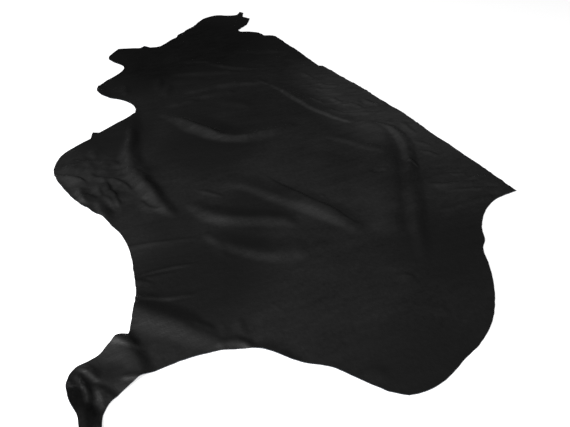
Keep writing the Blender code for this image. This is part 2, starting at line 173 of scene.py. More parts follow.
CREASES = tuple(Fold(*row) for row in (
    ("loin crease", 3, 14, 16, 0.4, 1.6, SPINDLE, ((28.5, 83.5), (26, 81), (23.5, 79), (20.5, 76.5))),
    ("flank crease", 1.6, 18, 22, 0.5, 1.6, SPINDLE,
        ((8.5, 87.5), (5.5, 87), (2, 86.5), (-2, 86.5), (-5.5, 86.5))),
    ("saddle crease", 5, 45, 22, 0.5, 1.6, (0, 1, 0.8, 1, 0),
        ((41.5, 33.5), (37, 30), (32.5, 27), (27, 25.5), (23.5, 23.5), (18.5, 23))),
    ("loin streak", 1.8, 6, 45, 0.3, 2, SPINDLE,
        ((12, 55.5), (12.5, 49.5), (12.5, 42.5), (13, 37.5), (13.5, 32.5))),
    ("loin scar", -4, 40, 12, 0.3, 1.6, SPINDLE, ((14, 33.5), (12, 31.5), (10.5, 29))),
    ("loin scar", -2, 30, 9, 0.3, 1.6, SPINDLE, ((15, 30.5), (13.5, 28.5), (12, 27))),
    ("loin nick", 1.2, 8, 9, 0.4, 1.6, SPINDLE, ((10.5, 52.5), (9, 52), (7.5, 52))),
    ("butt nick", 2.5, 7, 40, 0.3, 1.6, SPINDLE, ((-27.5, 51.5), (-29, 51), (-29.5, 49.5))),
    ("butt crease", 2, 24, 60, 0.4, 1.8, SPINDLE, ((-47, 72.5), (-49.5, 73), (-51.5, 73))),
    ("butt crease", 1.4, 16, 60, 0.5, 1.8, SPINDLE, ((-39.5, 51), (-41.5, 51), (-43.5, 51.5))),
    ("rump nick", 5, 10, 12, 0.25, 1.6, SPINDLE, ((15, 19), (12.5, 18), (9.5, 17.5))),
    ("rump nick", 2.5, 7, 20, 0.25, 1.6, SPINDLE, ((17.5, 17.5), (15, 17.5), (13.5, 17))),
    ("belly flap", 6, 9, 28, 0.25, 1.6, (0, 0.6, 1, 1, 0.9, 0),
        ((51.5, 108.5), (48, 107.5), (46, 105.5), (44, 103), (42, 101.5), (39.5, 100.5), (37, 100),
         (34, 99.5))),
    ("belly flap", 3.5, 9, 24, 0.3, 1.6, SPINDLE, ((30.5, 98.5), (27, 98), (24.5, 97), (22.5, 94.5))),
    ("belly flap", 5, 9, 20, 0.3, 1.6, (0, 0.8, 0.9, 0.5, 1, 1, 0),
        ((47.5, 106), (44, 105.5), (40.5, 105), (37.5, 105), (34.5, 104.5), (31, 104.5), (28, 104.5))),
    ("belly flap", 3, 9, 13, 0.4, 1.6, SPINDLE,
        ((44, 108), (40, 108), (36, 107.5), (33.5, 106.5), (30, 106), (26, 106))),
    ("belly flap", 9, 36, 20, 0.25, 1.6, (0, 1, 1, 0),
        ((44.5, 112.5), (40.5, 113), (36.5, 112.5), (33, 111.5))),
    ("belly flap", 9, 32, 18, 0.25, 1.6, (0, 0.8, 1, 0.6),
        ((34.5, 110), (31, 109.5), (28, 109.5), (24, 109))),
    ("belly flap", 8, 10, 36, 0.4, 1.6, (1, 1, 0.8, 0), ((53, 117), (51, 114.5), (48.5, 112), (45, 110))),
    ("belly flap", 3, 14, 22, 0.4, 1.6, SPINDLE, ((48.5, 101), (48, 99), (46, 97.5))),
    ("belly flap", 3, 16, 24, 0.4, 1.6, SPINDLE, ((44, 99), (41, 97.5), (37.5, 97.5))),
    ("flank pull", 5.5, 10, 28, 0.25, 1.8, FROM_EDGE, ((10.5, 108), (10, 104), (9, 99), (7.5, 93), (6, 88))),
    ("flank pull", 3.5, 12, 8, 0.25, 1.6, (1, 1, 0.8, 0),
        ((-1.5, 108.5), (-1.5, 102), (-2.5, 96), (-3.5, 92.5))),
    ("flank pull", 3, 8, 20, 0.25, 1.6, FROM_EDGE, ((-2.5, 108.5), (-3, 102.5), (-4, 97.5))),
    ("flank pull", 3.5, 12, 24, 0.4, 1.6, (1, 1, 0.5, 0), ((-3, 109), (-4, 106.5), (-6, 104))),
    ("flank pull", 4.5, 26, 10, 0.3, 1.6, (0.5, 1, 0.7, 0.4, 0),
        ((-9, 110), (-10, 106.5), (-11.5, 103.5), (-12.5, 99.5), (-13.5, 96.5))),
    ("leg root nub", 1.5, 14, 12, 0.4, 1.6, SPINDLE, ((-20.5, 101), (-22.5, 99), (-25.5, 97))),
    ("thigh pull", 2, 16, 18, 0.4, 1.6, SPINDLE, ((-23.5, 91.5), (-26.5, 92), (-30, 92.5))),
    ("thigh pull", 1.2, 12, 14, 0.4, 1.6, SPINDLE, ((-23.5, 95), (-26, 95.5), (-28, 96))),
    ("thigh curl", 7, 24, 20, 0.4, 1.6, (0.2, 0.9, 1, 0.8, 0.2),
        ((-29.5, 99.5), (-29.5, 97), (-30, 94.5), (-31.5, 93), (-33.5, 92))),
    ("thigh curl", 6, 34, 12, 0.5, 1.6, (0.3, 1, 0.9, 0.6, 0),
        ((-32, 93), (-34.5, 91), (-37, 88.5), (-40, 86.5), (-42, 84))),
    ("shank nick", 4.5, 32, 14, 0.3, 1.5, (0.8, 0.9, 0.5, 0),
        ((-19, 116), (-20.5, 114.5), (-22.5, 112.5), (-24, 110))),
    ("shank crease", 5, 44, 40, 0.4, 1.6, (0.5, 1, 1, 0.6),
        ((-26.5, 121.5), (-27.5, 120), (-28.5, 118.5), (-29.5, 117.5))),
    ("shank crease", 3, 14, 12, 0.3, 1.6, (0, 1, 1, 1),
        ((-29, 118), (-29, 116.5), (-30, 114.5), (-31, 113.5))),
    ("shank crease", 4, 12, 34, 0.3, 1.6, (0.3, 1, 1, 0.6),
        ((-28.5, 122), (-30, 121), (-31.5, 120), (-33, 119))),
    ("shank crease", 4.5, 16, 9, 0.25, 1.6, (0.4, 1, 1, 0.8),
        ((-22, 124.5), (-23, 123.5), (-24, 122.5), (-25.5, 122), (-27, 121.5))),
    ("shank crease", 1.8, 12, 8, 0.25, 1.6, (0, 1, 1, 1, 0.6),
        ((-27, 122.5), (-29, 122), (-31, 121.5), (-33, 121.5))),
    ("shank crease", 6.5, 16, 8, 0.25, 1.5, (0.6, 1, 1, 1, 0.4),
        ((-24.5, 124.5), (-27, 124), (-28.5, 123.5), (-30.5, 123.5), (-32, 124))),
    ("hock crease", 6, 26, 22, 0.4, 1.5, (0, 1, 1, 1),
        ((-31, 124.5), (-34, 124.5), (-36.5, 124.5), (-39, 124))),
    ("neck line", 11, 80, 29, 0.4, 1.5, (0, 0.7, 1, 1, 1, 0.8, 0.5, 0),
        ((97, 65), (96.5, 60), (97, 55), (98, 50), (97.5, 46), (96.5, 40.5), (94.5, 35.5), (93, 28))),
    ("neck line", 9.9, 22, 29, 0.4, 1.5, (0, 0.8, 1, 1, 0.8, 0),
        ((91, 65), (90, 60.5), (90, 56), (90.5, 50), (90.5, 44))),
    ("neck line", 7.7, 60, 27, 0.4, 1.6, SPINDLE, ((87, 74.5), (88, 68.5), (88, 64), (87, 60))),
    ("neck line", 4.5, 60, 40, 0.5, 1.8, SPINDLE, ((82, 58), (81, 53), (78, 48.5), (72, 45.5))),
    ("neck line", 10.5, 22, 36, 0.4, 1.5, (0, 0.8, 1, 1, 0.9, 0),
        ((120, 63.5), (117, 59), (116, 54.5), (114, 49), (112, 43.5), (108.5, 34.5))),
    ("neck line", 7.5, 22, 34, 0.4, 1.8, SPINDLE,
        ((131, 58), (130.5, 52.5), (128.5, 47), (124, 42), (119.5, 38.5))),
    ("neck line", 7.5, 24, 26, 0.4, 1.8, SPINDLE,
        ((125, 46), (120, 41), (115, 37), (111.5, 31.5), (109.5, 25))),
    ("neck line", 8, 27, 34, 0.4, 1.8, SPINDLE,
        ((136, 29), (131.5, 22.5), (128.5, 15.5), (125.5, 8), (122.5, 3))),
    ("neck line", 7, 24, 60, 0.4, 1.8, SPINDLE,
        ((116.5, 31), (117, 25), (118, 18.5), (117.5, 12.5), (115, 7))),
    ("neck line", 6, 20, 60, 0.4, 1.8, SPINDLE, ((111.5, 66), (109.5, 60.5), (108.5, 55), (107, 49))),
    ("throat crease", 5, 22, 36, 0.4, 1.6, SPINDLE, ((118.5, 68), (110.5, 70), (102.5, 72.5))),
    ("throat crease", 5, 28, 36, 0.4, 1.6, SPINDLE, ((110.5, 67), (103, 69), (95.5, 71.5))),
    ("fore leg curl", 6, 40, 14, 0.5, 1.6, (0.6, 1, 0.6), ((121.5, 92.5), (114, 93.5), (106, 93))),
    ("fore leg", 4, 24, 30, 0.4, 1.6, SPINDLE, ((117.5, 83), (111, 84), (103.5, 84.5))),
    ("back wrinkle", 2.8, 14, 20, 0.3, 1.6, SPINDLE, ((78.5, 16.5), (76, 12.5), (73, 8))),
    ("back wrinkle", 3, 14, 20, 0.3, 1.6, SPINDLE, ((69.5, 15), (64, 14), (60, 13), (58, 10.5))),
    ("back wrinkle", 2.8, 12, 22, 0.3, 1.6, SPINDLE, ((63.5, 13.5), (57.5, 9.5), (52, 9))),
    ("back wrinkle", 2.8, 12, 19, 0.3, 1.6, SPINDLE, ((54, 19), (51.5, 14.5), (49, 5.5))),
    ("back wrinkle", 3, 16, 22, 0.3, 1.6, SPINDLE, ((98.5, 12.5), (91, 11.5), (87, 9.5))),
    ("back wrinkle", 3, 16, 20, 0.3, 1.6, SPINDLE, ((84, 13.5), (78, 8.5), (74.5, 4))),
    ("back wrinkle", 2.8, 12, 22, 0.3, 1.6, SPINDLE, ((71, 22.5), (67, 20.5), (63, 20))),
    ("back wrinkle", 2.6, 12, 22, 0.3, 1.6, SPINDLE, ((59, 22), (55.5, 19.5), (51.5, 17.5))),
    ("back wrinkle", 2.6, 14, 20, 0.3, 1.6, SPINDLE, ((39, 3.5), (33, 4), (27, 4))),
    ("back wrinkle", 2.6, 12, 22, 0.3, 1.6, SPINDLE, ((25, 8.5), (21.5, 6), (18, 5.5))),
    ("back wrinkle", 2.6, 12, 20, 0.3, 1.6, SPINDLE, ((18.5, 11), (16, 8.5), (12, 7.5))),
    ("back wrinkle", 2.6, 14, 22, 0.3, 1.6, SPINDLE, ((63, 4), (56.5, 3.5), (52, 1))),
    ("tail line", 3, 12, 10, 0.3, 1.6, SPINDLE, ((3.5, 12.5), (1.5, 10), (0, 6.5))),
    ("tail line", 3, 10, 26, 0.4, 1.6, SPINDLE, ((2, 22), (-1, 18), (-3, 12.5), (-5, 6.5))),
    ("tail line", 3, 14, 10, 0.4, 1.6, SPINDLE, ((-4.5, 18.5), (-6.5, 14), (-8.5, 9), (-10, 4.5))),
    ("tail line", 5, 24, 12, 0.4, 1.6, (0, 0.7, 1, 1, 0.8),
        ((-11, 29), (-12, 25.5), (-12.5, 20.5), (-12.5, 15.5), (-13, 10.5))),
    ("tail line", 3, 14, 10, 0.4, 1.6, SPINDLE, ((-3.5, 9), (-3, 4), (-5, 2))),
    ("thigh scratch", 0.8, 6, 6, 0.3, 1.6, SPINDLE, ((-22, 85), (-24, 83), (-26, 82.5), (-28.5, 82))),
))

# Where the skin crumples: the thin belly flap, which dried least evenly.
CRUMPLES = (
    Zone("belly flap", 46, 109, 30, 18),
    Zone("belly fold", 42, 97, 18, 8),
)
# Painted light and shade: lighter (up to 1) as painted sheen along the back, darker (down to -1) as painted
# shade on the neck, hollows and folds.
PAINTED_LIGHT_AND_SHADE = (
    LightShadeZone("back", 0.95, 56, 3, 64, 27),
    LightShadeZone("tail", 0.2, -14, 8, 34, 26),
    LightShadeZone("loin", 0.15, 22, 42, 45, 40),
    LightShadeZone("haunch", -0.12, 16, 31, 22, 20),
    LightShadeZone("croup", -0.4, -26, 32, 22, 26),
    LightShadeZone("butt", -0.45, -62, 62, 30, 44),
    LightShadeZone("neck", -0.9, 156, 46, 64, 62),
    LightShadeZone("fore leg", -0.45, 120, 82, 26, 30),
    LightShadeZone("shoulder", -0.2, 78, 62, 40, 34),
    LightShadeZone("ribs", -0.4, 50, 72, 22, 24),
    LightShadeZone("loin hollow", -0.45, 13, 70, 14, 14),
    LightShadeZone("belly edge", -0.6, 76, 97, 22, 18),
    LightShadeZone("belly flap", 0.3, 46, 114, 14, 8),
    LightShadeZone("flank", -0.62, -9, 97, 21, 25),
    LightShadeZone("flank hollow", -0.3, 14, 94, 10, 9),
    LightShadeZone("flank fold", -0.35, 1.5, 79, 13, 9),
    LightShadeZone("shank", -0.5, -30, 121, 12, 11),
    LightShadeZone("hock", -1.0, -36, 126, 12, 8),
)
# Where growth wrinkles cross the side: the neck, the back and the fore leg.
GROWTH = (
    Zone("neck", 150, 30, 58, 56),
    Zone("shoulder top", 96, 16, 44, 26),
    Zone("back", 58, 4, 50, 25),
    Zone("tail", -4, 12, 18, 20),
    Zone("fore leg", 115, 88, 16, 14),
)
# Where the surface needs its points close together for the small creases listed above.
CLOSE_ZONES = (
    Zone("neck", 130, 35, 50, 50),
    Zone("back", 60, 8, 44, 20),
    Zone("tail", -3, 14, 16, 18),
)
FINE_ZONES = (
    Zone("belly flap", 44, 108, 24, 13),
    Zone("shank", -29, 119, 13, 12),
)


def linear(code):
    """An sRGB hex colour as the linear red, green, blue and alpha that the shaders take."""
    parts = [int(code[i:i + 2], 16) / 255 for i in (1, 3, 5)]
    return (*(part / 12.92 if part <= 0.04045 else ((part + 0.055) / 1.055) ** 2.4 for part in parts), 1)


class SideSettings(bpy.types.PropertyGroup):
    """What a user would change about the leather."""

    thick: FloatProperty(
        name="Thickness", description="How thick the leather is shaved",
        default=0.0018, min=0.0008, max=0.004, unit="LENGTH",
    )
    fold_share: FloatProperty(
        name="Fold height", description="The share of their modelled height to which the folds stand",
        default=1.0, min=0, max=1.2, subtype="FACTOR",
    )
    crumple: FloatProperty(
        name="Crumple", description="How far the belly flap crumples",
        default=0.0034, min=0, max=0.006, unit="LENGTH",
    )
    growth_depth: FloatProperty(
        name="Growth wrinkle depth", description="How deep the growth wrinkles of the neck and back are",
        default=0.0028, min=0, max=0.005, unit="LENGTH",
    )
    growth_spacing: FloatProperty(
        name="Growth wrinkle spacing", description="How far apart the growth wrinkles are",
        default=0.045, min=0.01, max=0.1, unit="LENGTH",
    )
    growth_seed: IntProperty(
        name="Growth wrinkle seed", description="Which run of growth wrinkles is drawn",
        default=7, min=0,
    )
    ragged: FloatProperty(
        name="Ragged edge", description="How far the knife strayed along the cut edge",
        default=0.0009, min=0, max=0.003, unit="LENGTH",
    )
    grain_colour: FloatVectorProperty(
        name="Grain colour", description="Colour of the dyed grain side",
        default=linear("#0e0e0e"), size=4, min=0, max=1, subtype="COLOR",
    )
    worn_colour: FloatVectorProperty(
        name="Lighter grain colour", description="Colour where the dye sits thinner",
        default=linear("#242424"), size=4, min=0, max=1, subtype="COLOR",
    )
    # The painted sheen's colour, laid lightest along the back where it stands in for light.
    painted_sheen_colour: FloatVectorProperty(
        name="Bloom colour",
        description="Colour along the back, where the dye is thin under a waxy bloom",
        default=linear("#343434"), size=4, min=0, max=1, subtype="COLOR",
    )
    # The painted shade's colour, darkest on the neck and the hock and in hollows beside folds.
    painted_shade_colour: FloatVectorProperty(
        name="Deep colour", description="Colour of the neck, where the dye sits deep",
        default=linear("#0b0b0b"), size=4, min=0, max=1, subtype="COLOR",
    )
    flesh_colour: FloatVectorProperty(
        name="Flesh side colour", description="Colour of the suede underside",
        default=linear("#2b2b2e"), size=4, min=0, max=1, subtype="COLOR",
    )
    edge_colour: FloatVectorProperty(
        name="Cut edge colour", description="Colour of the raw cut edge",
        default=linear("#6a7078"), size=4, min=0, max=1, subtype="COLOR",
    )


class StageSettings(bpy.types.PropertyGroup):
    """What a user would change about the floor, the softbox and the camera."""

    floor_colour: FloatVectorProperty(
        name="Floor colour", description="Colour of the plain floor",
        default=linear("#e9e9ea"), size=4, min=0, max=1, subtype="COLOR",
    )
    floor_glow: FloatProperty(
        name="Floor glow", description="How strongly the floor shines like a light table",
        default=0.8, min=0, max=2,
    )
    key_power: FloatProperty(
        name="Softbox power", description="Power of the softbox on the belly side",
        default=240, min=0, unit="POWER",
    )
    world_strength: FloatProperty(
        name="Room light", description="Strength of the light from all around",
        default=0.015, min=0, max=2,
    )
    eye_height: FloatProperty(
        name="Camera height", description="Height of the camera over the floor",
        default=0.85, min=0.2, max=3, unit="LENGTH",
    )
    look_down: FloatProperty(
        name="Camera tilt", description="How far the camera looks down from level",
        default=math.radians(35), min=0, max=math.radians(90), subtype="ANGLE",
    )
    view_width: FloatProperty(
        name="View width", description="Horizontal angle of view",
        default=math.radians(55), min=math.radians(10), max=math.radians(90), subtype="ANGLE",
    )


def place(fore, out):
    """A cutter's mark in the CAD frame."""
    return RUMP + np.array((fore, out)) * CM


def soft_step(share):
    """A share from 0 to 1, eased at both ends."""
    share = np.clip(share, 0, 1)
    return share * share * (3 - 2 * share)


def soft_noise(points, spacing, seed):
    """Smooth noise from -1 to 1 whose swells are about the spacing apart, the same each run."""
    draw = np.random.default_rng(seed)
    table = draw.uniform(-1, 1, (NOISE_SIDE, NOISE_SIDE))
    turn = draw.uniform(0, math.pi)
    turned = points @ np.array(((math.cos(turn), -math.sin(turn)), (math.sin(turn), math.cos(turn))))
    cell = np.floor(turned / spacing).astype(int)
    share = turned / spacing - cell
    share = share**3 * (share * (share * 6 - 15) + 10)
    left, down = (cell % NOISE_SIDE).T
    right, up = ((cell + 1) % NOISE_SIDE).T
    lower = table[left, down] * (1 - share[:, 0]) + table[right, down] * share[:, 0]
    upper = table[left, up] * (1 - share[:, 0]) + table[right, up] * share[:, 0]
    return lower * (1 - share[:, 1]) + upper * share[:, 1]


def noise_runs(points, runs):
    """The sum of several runs of noise."""
    return sum(run.share * soft_noise(points, run.spacing, run.seed) for run in runs)


def bearing(before, here, after):
    """The direction of a smooth curve through the middle one of three points."""
    back, ahead = here - before, after - here
    return (back / back.length * ahead.length + ahead / ahead.length * back.length).normalized()


def turn_at(before, here, after):
    """How far a line turns at the middle one of three points."""
    return (here - before).angle(after - here)


def smooth_run(marks, leave, arrive, step):
    """Points about a step apart along smooth curves from each mark to the next, without the last mark."""
    points = []
    for i in range(len(leave)):
        start, end = marks[i], marks[(i + 1) % len(marks)]
        handle = (end - start).length / 3
        steps = max(1, round(3 * handle / step))
        curve = interpolate_bezier(start, start + leave[i] * handle, end - arrive[i] * handle, end, steps + 1)
        points += [point.xy for point in curve[:-1]]
    return points


def route_points(route, step):
    """A fold's route as a smooth run of points about a step apart."""
    marks = [Vector((*place(*mark), 0)) for mark in route]
    inner = [bearing(marks[i - 1], marks[i], marks[i + 1]) for i in range(1, len(marks) - 1)]
    ways = [(marks[1] - marks[0]).normalized(), *inner, (marks[-1] - marks[-2]).normalized()]
    return np.array(smooth_run(marks, ways[:-1], ways[1:], step) + [marks[-1].xy])


def cad_edge(node):
    """The corners of the CAD side's cut edge, in order and anticlockwise from above."""
    mesh = node.data
    mesh.calc_loop_triangles()
    corners = np.empty(len(mesh.vertices) * 3, np.float32)
    mesh.vertices.foreach_get("co", corners)
    triangles = np.empty(len(mesh.loop_triangles) * 3, np.int32)
    mesh.loop_triangles.foreach_get("vertices", triangles)
    corners, index = np.unique(np.round(corners.reshape(-1, 3), 5), axis=0, return_inverse=True)
    triangles = index.reshape(-1)[triangles].reshape(-1, 3)
    a, b, c = (corners[triangles[:, i]] for i in range(3))
    normals = np.cross(b - a, c - a)
    lengths = np.maximum(np.linalg.norm(normals, axis=1), 1e-12)
    faces_down = normals[:, 2] / lengths < -0.5
    under = triangles[faces_down]
    sides = np.concatenate([under[:, [0, 1]], under[:, [1, 2]], under[:, [2, 0]]])
    known = {(int(start), int(end)) for start, end in sides}
    following = {start: end for start, end in known if (end, start) not in known}
    loop = [next(iter(following))]
    while following[loop[-1]] != loop[0]:
        loop.append(following[loop[-1]])
    if len(loop) != len(following):
        raise RuntimeError("the CAD side's cut edge isn't one closed line")
    edge = corners[loop, :2].astype(float)
    ahead = np.roll(edge, -1, axis=0)
    turning = (edge[:, 0] * ahead[:, 1] - edge[:, 1] * ahead[:, 0]).sum()
    edge = edge if turning > 0 else edge[::-1]
    first = int(np.argmax(edge @ TOWARDS_FACE))
    return np.roll(edge, -first, axis=0)


def cut_edge(node, ragged):
    """The cut edge as closely set points: smooth between its corners, with the small waver of the knife."""
    marks = [Vector((*corner, 0)) for corner in cad_edge(node)]
    count = len(marks)
    leave, arrive = [], []
    for i in range(count):
        before, here, after = marks[i - 1], marks[i], marks[(i + 1) % count]
        corner = turn_at(before, here, after) > CORNER_TURN
        leave.append((after - here).normalized() if corner else bearing(before, here, after))
        arrive.append((here - before).normalized() if corner else bearing(before, here, after))
    edge = np.array(smooth_run(marks, leave, arrive[1:] + arrive[:1], EDGE_STEP))
    return edge + outward(edge) * waver(edge, ragged)[:, None]


def outward(edge):
    """The direction square to the cut edge and away from the leather at each of its points."""
    along = np.roll(edge, -1, axis=0) - np.roll(edge, 1, axis=0)
    along /= np.linalg.norm(along, axis=1)[:, None]
    return np.column_stack([along[:, 1], -along[:, 0]])


def waver(edge, ragged):
    """How far outward the knife strayed at each point of the cut edge."""
    return ragged * noise_runs(edge, KNIFE)


def beside(points, route):
    """How far each point is left of the route (right is negative), and how far along it, from 0 to 1."""
    best, left, along = np.full(len(points), np.inf), np.zeros(len(points)), np.zeros(len(points))
    lengths = np.linalg.norm(np.diff(route, axis=0), axis=1)
    travelled = np.concatenate([[0], np.cumsum(lengths)])
    for i, length in enumerate(lengths):
        way = (route[i + 1] - route[i]) / length
        offset = points - route[i]
        ahead = np.clip(offset @ way, 0, length)
        apart = np.linalg.norm(offset - np.outer(ahead, way), axis=1)
        side = np.sign(way[0] * offset[:, 1] - way[1] * offset[:, 0])
        nearer = apart < best
        best = np.where(nearer, apart, best)
        left = np.where(nearer, apart * side, left)
        along = np.where(nearer, (travelled[i] + ahead) / travelled[-1], along)
    return left, along


def near_route(points, route, reach):
    """Which points lie in the route's own box, widened by the reach."""
    return ((points > route.min(0) - reach) & (points < route.max(0) + reach)).all(1)


def size_at(along, sizes):
    """A fold's size at each share of its length, eased from one given size to the next."""
    step = along * (len(sizes) - 1)
    before = np.minimum(step.astype(int), len(sizes) - 2)
    sizes = np.array(sizes, float)
    return sizes[before] + (sizes[before + 1] - sizes[before]) * soft_step(step - before)


def fold_lift(points, fold, seed):
    """How far one fold lifts the leather: a ridge of uneven height and width along its route."""
    width = min(fold.left, fold.right) * MM
    route = route_points(fold.route, min(ROUTE_STEP, width))
    near = near_route(points, route, max(fold.left, fold.right) * MM * REACH)
    lift = np.zeros(len(points))
    if not near.any():
        return lift
    here = points[near]
    stray = np.column_stack([soft_noise(here, STRAY_RUN * width, seed + i) for i in range(2)])
    left, along = beside(here + STRAY * width * stray, route)
    size = size_at(along, fold.sizes)
    widen = END_WIDTH + (1 - END_WIDTH) * size
    across = np.where(left > 0, left / (fold.left * MM), -left / (fold.right * MM)) / widen
    pinched = (np.sqrt(across**2 + fold.round**2) - fold.round) / (math.hypot(1, fold.round) - fold.round)
    uneven = 1 + UNEVEN * soft_noise(here, UNEVEN_RUN * width + UNEVEN_LEAST, seed + 2)
    lift[near] = fold.high * MM * np.maximum(0, 1 - pinched) ** fold.foot * size * uneven
    return lift


def zone_share(points, zone):
    """From 1 in the middle of a zone to 0 outside it."""
    offset = (points - place(zone.fore, zone.out)) / (np.array((zone.reach_fore, zone.reach_out)) * CM)
    return soft_step(ZONE_FALL * (1 - np.linalg.norm(offset, axis=1)))


def most(points, zones):
    """The largest share that any of the zones has at each point."""
    return np.max([zone_share(points, zone) for zone in zones], axis=0)


def painted_light_and_shade(points):
    """How much painted light (up to 1) or painted shade (down to -1) lies at each point."""
    return np.clip(sum(zone.share * zone_share(points, zone) for zone in PAINTED_LIGHT_AND_SHADE), -1, 1)


def slack(points):
    """The low undulation of leather that has lain folded, pressed flat where it touches the surface."""
    low = SWELL_HIGH * np.maximum(0, noise_runs(points, SWELL) - SWELL_START)
    return low + noise_runs(points * PILLOW_PULL, PILLOW) + BED


def crumpled(points, depth):
    """Fine uneven ridges where the skin is thin."""
    return depth * most(points, CRUMPLES) * (1 + noise_runs(points, DENTS))


def edge_curl(points, apart):
    """How far the cut edge lifts off the surface."""
    lift = CURL_HIGH * np.maximum(0, noise_runs(points, CURL) + CURL_MORE)
    return lift * np.maximum(0, 1 - apart / CURL_WIDE) ** 2


def lifted(points, apart, settings):
    """Height of the leather's underside over the surface it lies on."""
    rows = enumerate(FOLDS + CREASES)
    folds = sum(fold_lift(points, fold, FOLD_SEED + RUNS_EACH * i) for i, fold in rows)
    rise = settings.fold_share * folds + slack(points) + crumpled(points, settings.crumple)
    return np.maximum(0, rise + edge_curl(points, apart))


def wanted_step(points):
    """How close together the surface's points should lie at each place."""
    step = np.full(len(points), PLAIN)
    step[most(points, CLOSE_ZONES) > ZONE_START] = CLOSE
    for fold in sorted(FOLDS + CREASES, key=lambda fold: -min(fold.left, fold.right)):
        narrow = min(fold.left, fold.right)
        reach = (REACH * narrow + REACH_MORE) * MM
        route = route_points(fold.route, ROUTE_STEP)
        near = np.flatnonzero(near_route(points, route, reach))
        left, _ = beside(points[near], route)
        close = near[np.abs(left) < reach]
        step[close] = np.minimum(step[close], FINE if narrow < NARROW else CLOSE)
    step[most(points, FINE_ZONES) > ZONE_START] = FINE
    return step


def inside(points, edge):
    """Which points are inside the cut edge, by how often a line from each one crosses it."""
    crossed = np.zeros(len(points), bool)
    ahead = np.roll(edge, -1, axis=0)
    for y in np.unique(points[:, 1]):
        row = points[:, 1] == y
        spans = (edge[:, 1] > y) != (ahead[:, 1] > y)
        start, end = edge[spans], ahead[spans]
        run, rise = (end - start).T
        meets = np.sort(start[:, 0] + (y - start[:, 1]) * run / rise)
        crossed[row] = np.searchsorted(meets, points[row, 0]) % 2 == 1
    return crossed


def lattice(low, high, step):
    """A lattice of equal triangles over the whole box."""
    rise = step * math.sqrt(3) / 2
    rows = np.arange(math.ceil((high[1] - low[1]) / rise))
    columns = np.arange(math.ceil((high[0] - low[0]) / step))
    row, column = (grid.ravel() for grid in np.meshgrid(rows, columns, indexing="ij"))
    return np.column_stack([low[0] + (column + 0.5 * (row % 2)) * step, low[1] + row * rise])


def distances(points, edge):
    """How far each point is from the cut edge."""
    tree = KDTree(len(edge))
    for i, corner in enumerate(edge):
        tree.insert((*corner, 0), i)
    tree.balance()
    return np.array([tree.find((*point, 0))[2] for point in points])


def surface_points(edge):
    """The points inside the cut edge: a row just in from it, then the lattices."""
    inset = edge - outward(edge) * EDGE_ROW
    chosen = [inset[inside(inset, edge)]]
    for step in (PLAIN, CLOSE, FINE):
        points = lattice(edge.min(0), edge.max(0), step)
        points = points[wanted_step(points) == step]
        points = points[inside(points, edge)]
        chosen.append(points[distances(points, edge) > EDGE_ROW + CLEAR_SHARE * step])
    return np.concatenate(chosen)


def add_node(tree, kind, sockets=None, **settings):
    """Adds a node, sets its settings, and fills its sockets with values or with links from other nodes."""
    node = tree.nodes.new(kind)
    for name, value in settings.items():
        setattr(node, name, value)
    for name, value in (sockets or {}).items():
        if isinstance(value, bpy.types.NodeSocket):
            tree.links.new(value, node.inputs[name])
        else:
            node.inputs[name].default_value = value
    return node


def new_material(name):
    """An empty node material, and its tree and shader."""
    material = bpy.data.materials.new(name)
    material.use_nodes = True
    tree = material.node_tree
    tree.nodes.clear()
    shader = add_node(tree, "ShaderNodeBsdfPrincipled")
    add_node(tree, "ShaderNodeOutputMaterial", {"Surface": shader.outputs["BSDF"]})
    return material, tree, shader


